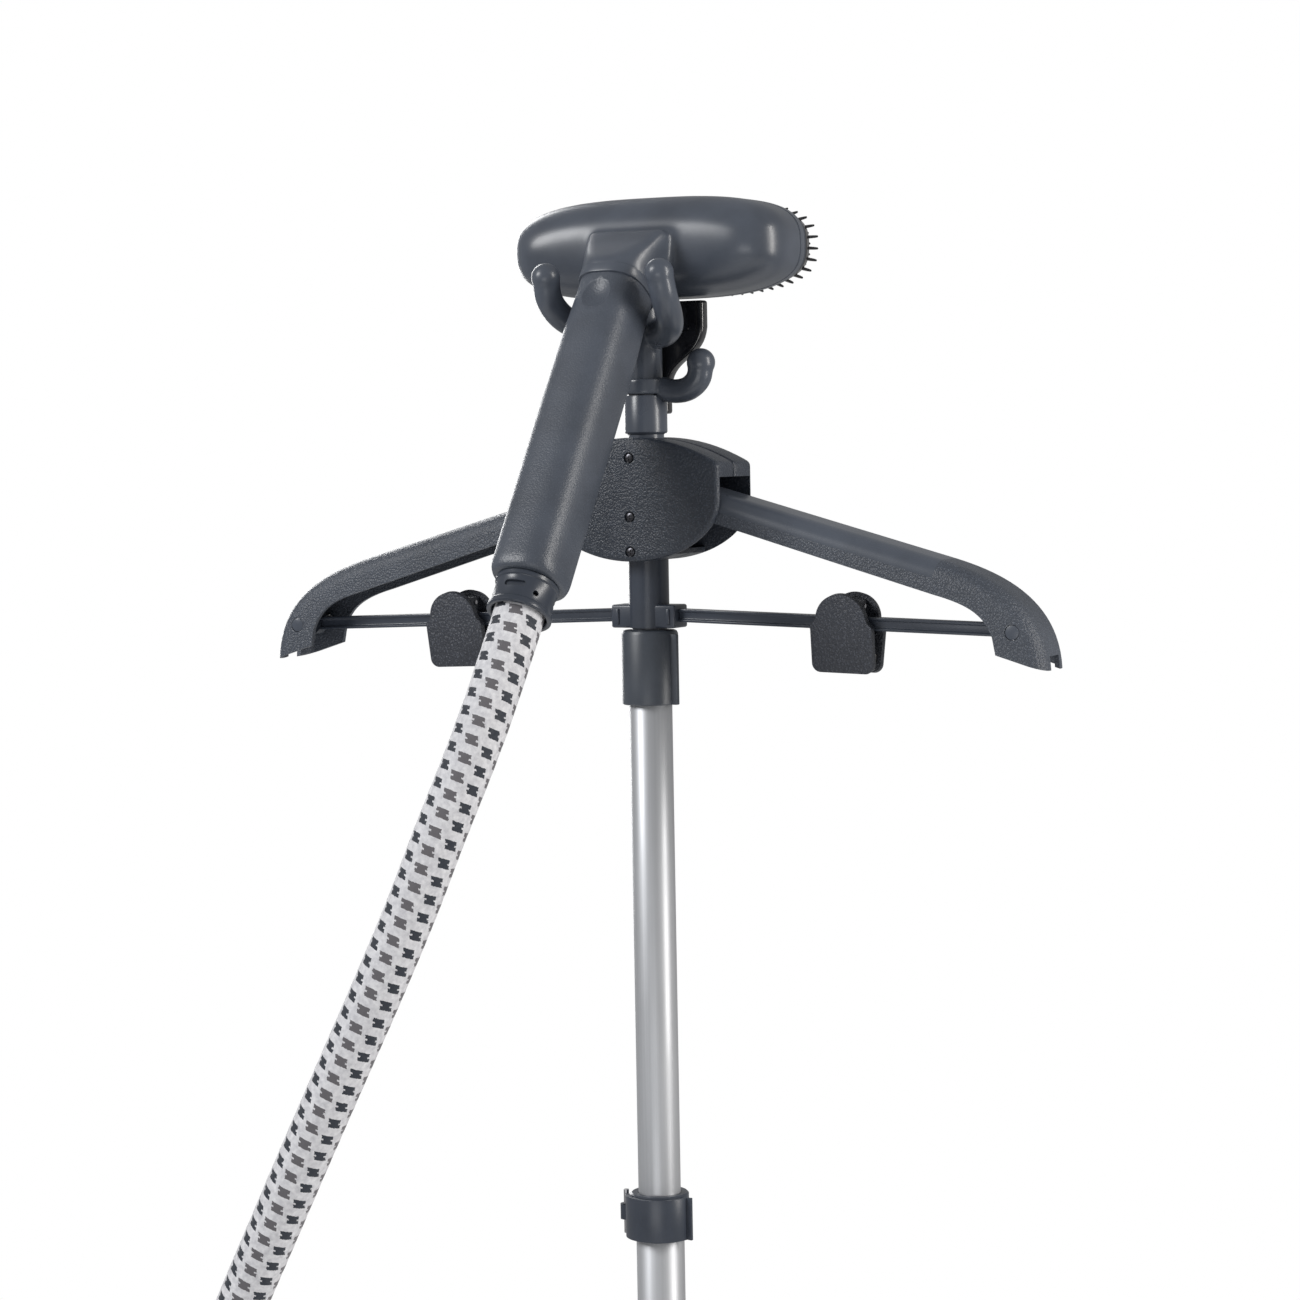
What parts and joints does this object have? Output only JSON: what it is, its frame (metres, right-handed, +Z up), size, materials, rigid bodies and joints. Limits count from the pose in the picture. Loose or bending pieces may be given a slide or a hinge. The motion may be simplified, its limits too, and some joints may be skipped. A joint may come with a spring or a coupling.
{
  "type": "garment steamer",
  "caption": "Upright garment steamer: wheeled base with water tank, telescopic pole, clothes hanger with trouser clips, and a steam head on a woven hose.",
  "frame": {"origin": "centre of the base on the floor", "axes": "+Z up, +X along the hanger to its right arm, -Y to the front where the handle hangs"},
  "size_m": [0.4458, 0.2897, 1.4545],
  "materials": {
    "slate": "satin slate grey moulding",
    "navy": "fine-grained dark slate moulding",
    "gloss_black": "gloss black moulding",
    "pale": "pale moulding",
    "pole_metal": "satin anodised tube",
    "steel": "brushed",
    "tank_clear": "clear smoke-tinted tank",
    "hose_weave": "woven sleeve, white with dark marks",
    "rubber": "soft black"
  },
  "bodies": {
    "base": {"base_pan": "navy", "top_cover": "slate", "clamp_band": "navy", "hose_socket": "navy", "hose_lower": "hose_weave", "pole_socket": "navy", "boiler": "steel", "steam_outlet_tube": "pale", "feed_tube": "pale", "lower_pole": "pole_metal", "foot_left": "rubber", "foot_right": "rubber", "cable_gland": "rubber", "clamp_pin": "steel", "pump": "gloss_black", "axle": "steel"},
    "top": {"upper_pole": "pole_metal", "collar": "slate", "stem": "navy", "hub_front": "navy", "hub_back": "navy", "hub_screw_upper": "steel", "hub_screw_middle": "steel", "hub_screw_lower": "steel", "arm_left": "slate", "arm_right": "slate", "bar_left": "navy", "bar_right": "navy", "bar_pin_left": "slate", "bar_pin_right": "slate", "holder_sleeve": "slate", "cradle": "slate", "side_hook": "slate", "rear_support": "gloss_black"},
    "head": {"head_shell": "slate", "trim_ring": "pale", "steam_plate": "steel", "handle_grip": "slate", "steam_pipe": "pale", "hose_cuff": "navy", "hose_upper": "hose_weave"},
    "brush": {"brush": "gloss_black"},
    "clip_left": {"clip_rear_jaw_left": "navy", "clip_rear_pad_left": "pale", "clip_pin_left": "steel"},
    "clip_right": {"clip_rear_jaw_right": "navy", "clip_rear_pad_right": "pale", "clip_pin_right": "steel"},
    "clip_jaw_left": {"clip_front_jaw_left": "navy", "clip_front_pad_left": "pale"},
    "clip_jaw_right": {"clip_front_jaw_right": "navy", "clip_front_pad_right": "pale"},
    "clamp_lever": {"clamp_lever": "navy"},
    "water_tank": {"water_tank": "tank_clear", "tank_valve": "gloss_black"},
    "tank_cap": {"tank_cap": "navy"},
    "wheel_left": {"wheel_left": "rubber"},
    "wheel_right": {"wheel_right": "rubber"},
    "dial": {"dial": "gloss_black"},
    "power_button": {"power_button": "pale"}
  },
  "joints": [
    {"name": "pole_slide", "type": "slide", "parent": "base", "child": "top", "axis": [0, 0, 1], "range_m": [-0.235, 0.1], "deforming": ["hose_lower"]},
    {"name": "head_lift", "type": "slide", "parent": "top", "child": "head", "axis": [0, 0, 1], "range_m": [0, 0.12], "deforming": ["hose_upper"]},
    {"name": "brush_pull", "type": "slide", "parent": "head", "child": "brush", "axis": [0, 1, 0], "range_m": [0, 0.04]},
    {"name": "clamp_lever_swing", "type": "hinge", "parent": "base", "child": "clamp_lever", "pos_m": [-0.0196, 0.055, 0.929], "axis": [0, 0, -1], "range_deg": [0, 95]},
    {"name": "clip_slide_left", "type": "slide", "parent": "top", "child": "clip_left", "axis": [-0.9995, 0, -0.0328], "range_m": [-0.07, 0.06]},
    {"name": "clip_jaw_left_open", "type": "hinge", "parent": "clip_left", "child": "clip_jaw_left", "pos_m": [-0.11178, 0.055, 1.24655], "axis": [-0.9995, 0, -0.0328], "range_deg": [0, 14], "stiffness_Nm_per_rad": 0.05, "springref_deg": -11.46},
    {"name": "clip_slide_right", "type": "slide", "parent": "top", "child": "clip_right", "axis": [0.9995, 0, -0.0328], "range_m": [-0.07, 0.06]},
    {"name": "clip_jaw_right_open", "type": "hinge", "parent": "clip_right", "child": "clip_jaw_right", "pos_m": [0.11178, 0.055, 1.24655], "axis": [-0.9995, 0, 0.0328], "range_deg": [0, 14], "stiffness_Nm_per_rad": 0.05, "springref_deg": -11.46},
    {"name": "tank_lift", "type": "slide", "parent": "base", "child": "water_tank", "axis": [0, 0, 1], "range_m": [0, 0.15]},
    {"name": "tank_cap_turn", "type": "hinge", "parent": "water_tank", "child": "tank_cap", "pos_m": [-0.018, -0.072, 0.21], "axis": [0, 0, 1], "range_deg": [0, 90]},
    {"name": "wheel_left_roll", "type": "hinge", "parent": "base", "child": "wheel_left", "pos_m": [-0.1395, 0.104, 0.027], "axis": [1, 0, 0], "continuous": true},
    {"name": "wheel_right_roll", "type": "hinge", "parent": "base", "child": "wheel_right", "pos_m": [0.1395, 0.104, 0.027], "axis": [1, 0, 0], "continuous": true},
    {"name": "dial_turn", "type": "hinge", "parent": "base", "child": "dial", "pos_m": [0.088, 0.062, 0.22], "axis": [0, 0, 1], "range_deg": [-135, 135]},
    {"name": "power_button_press", "type": "slide", "parent": "base", "child": "power_button", "axis": [0, 0, -1], "range_m": [0, 0.004], "stiffness_N_per_m": 300, "springref_m": -0.001}
  ]
}
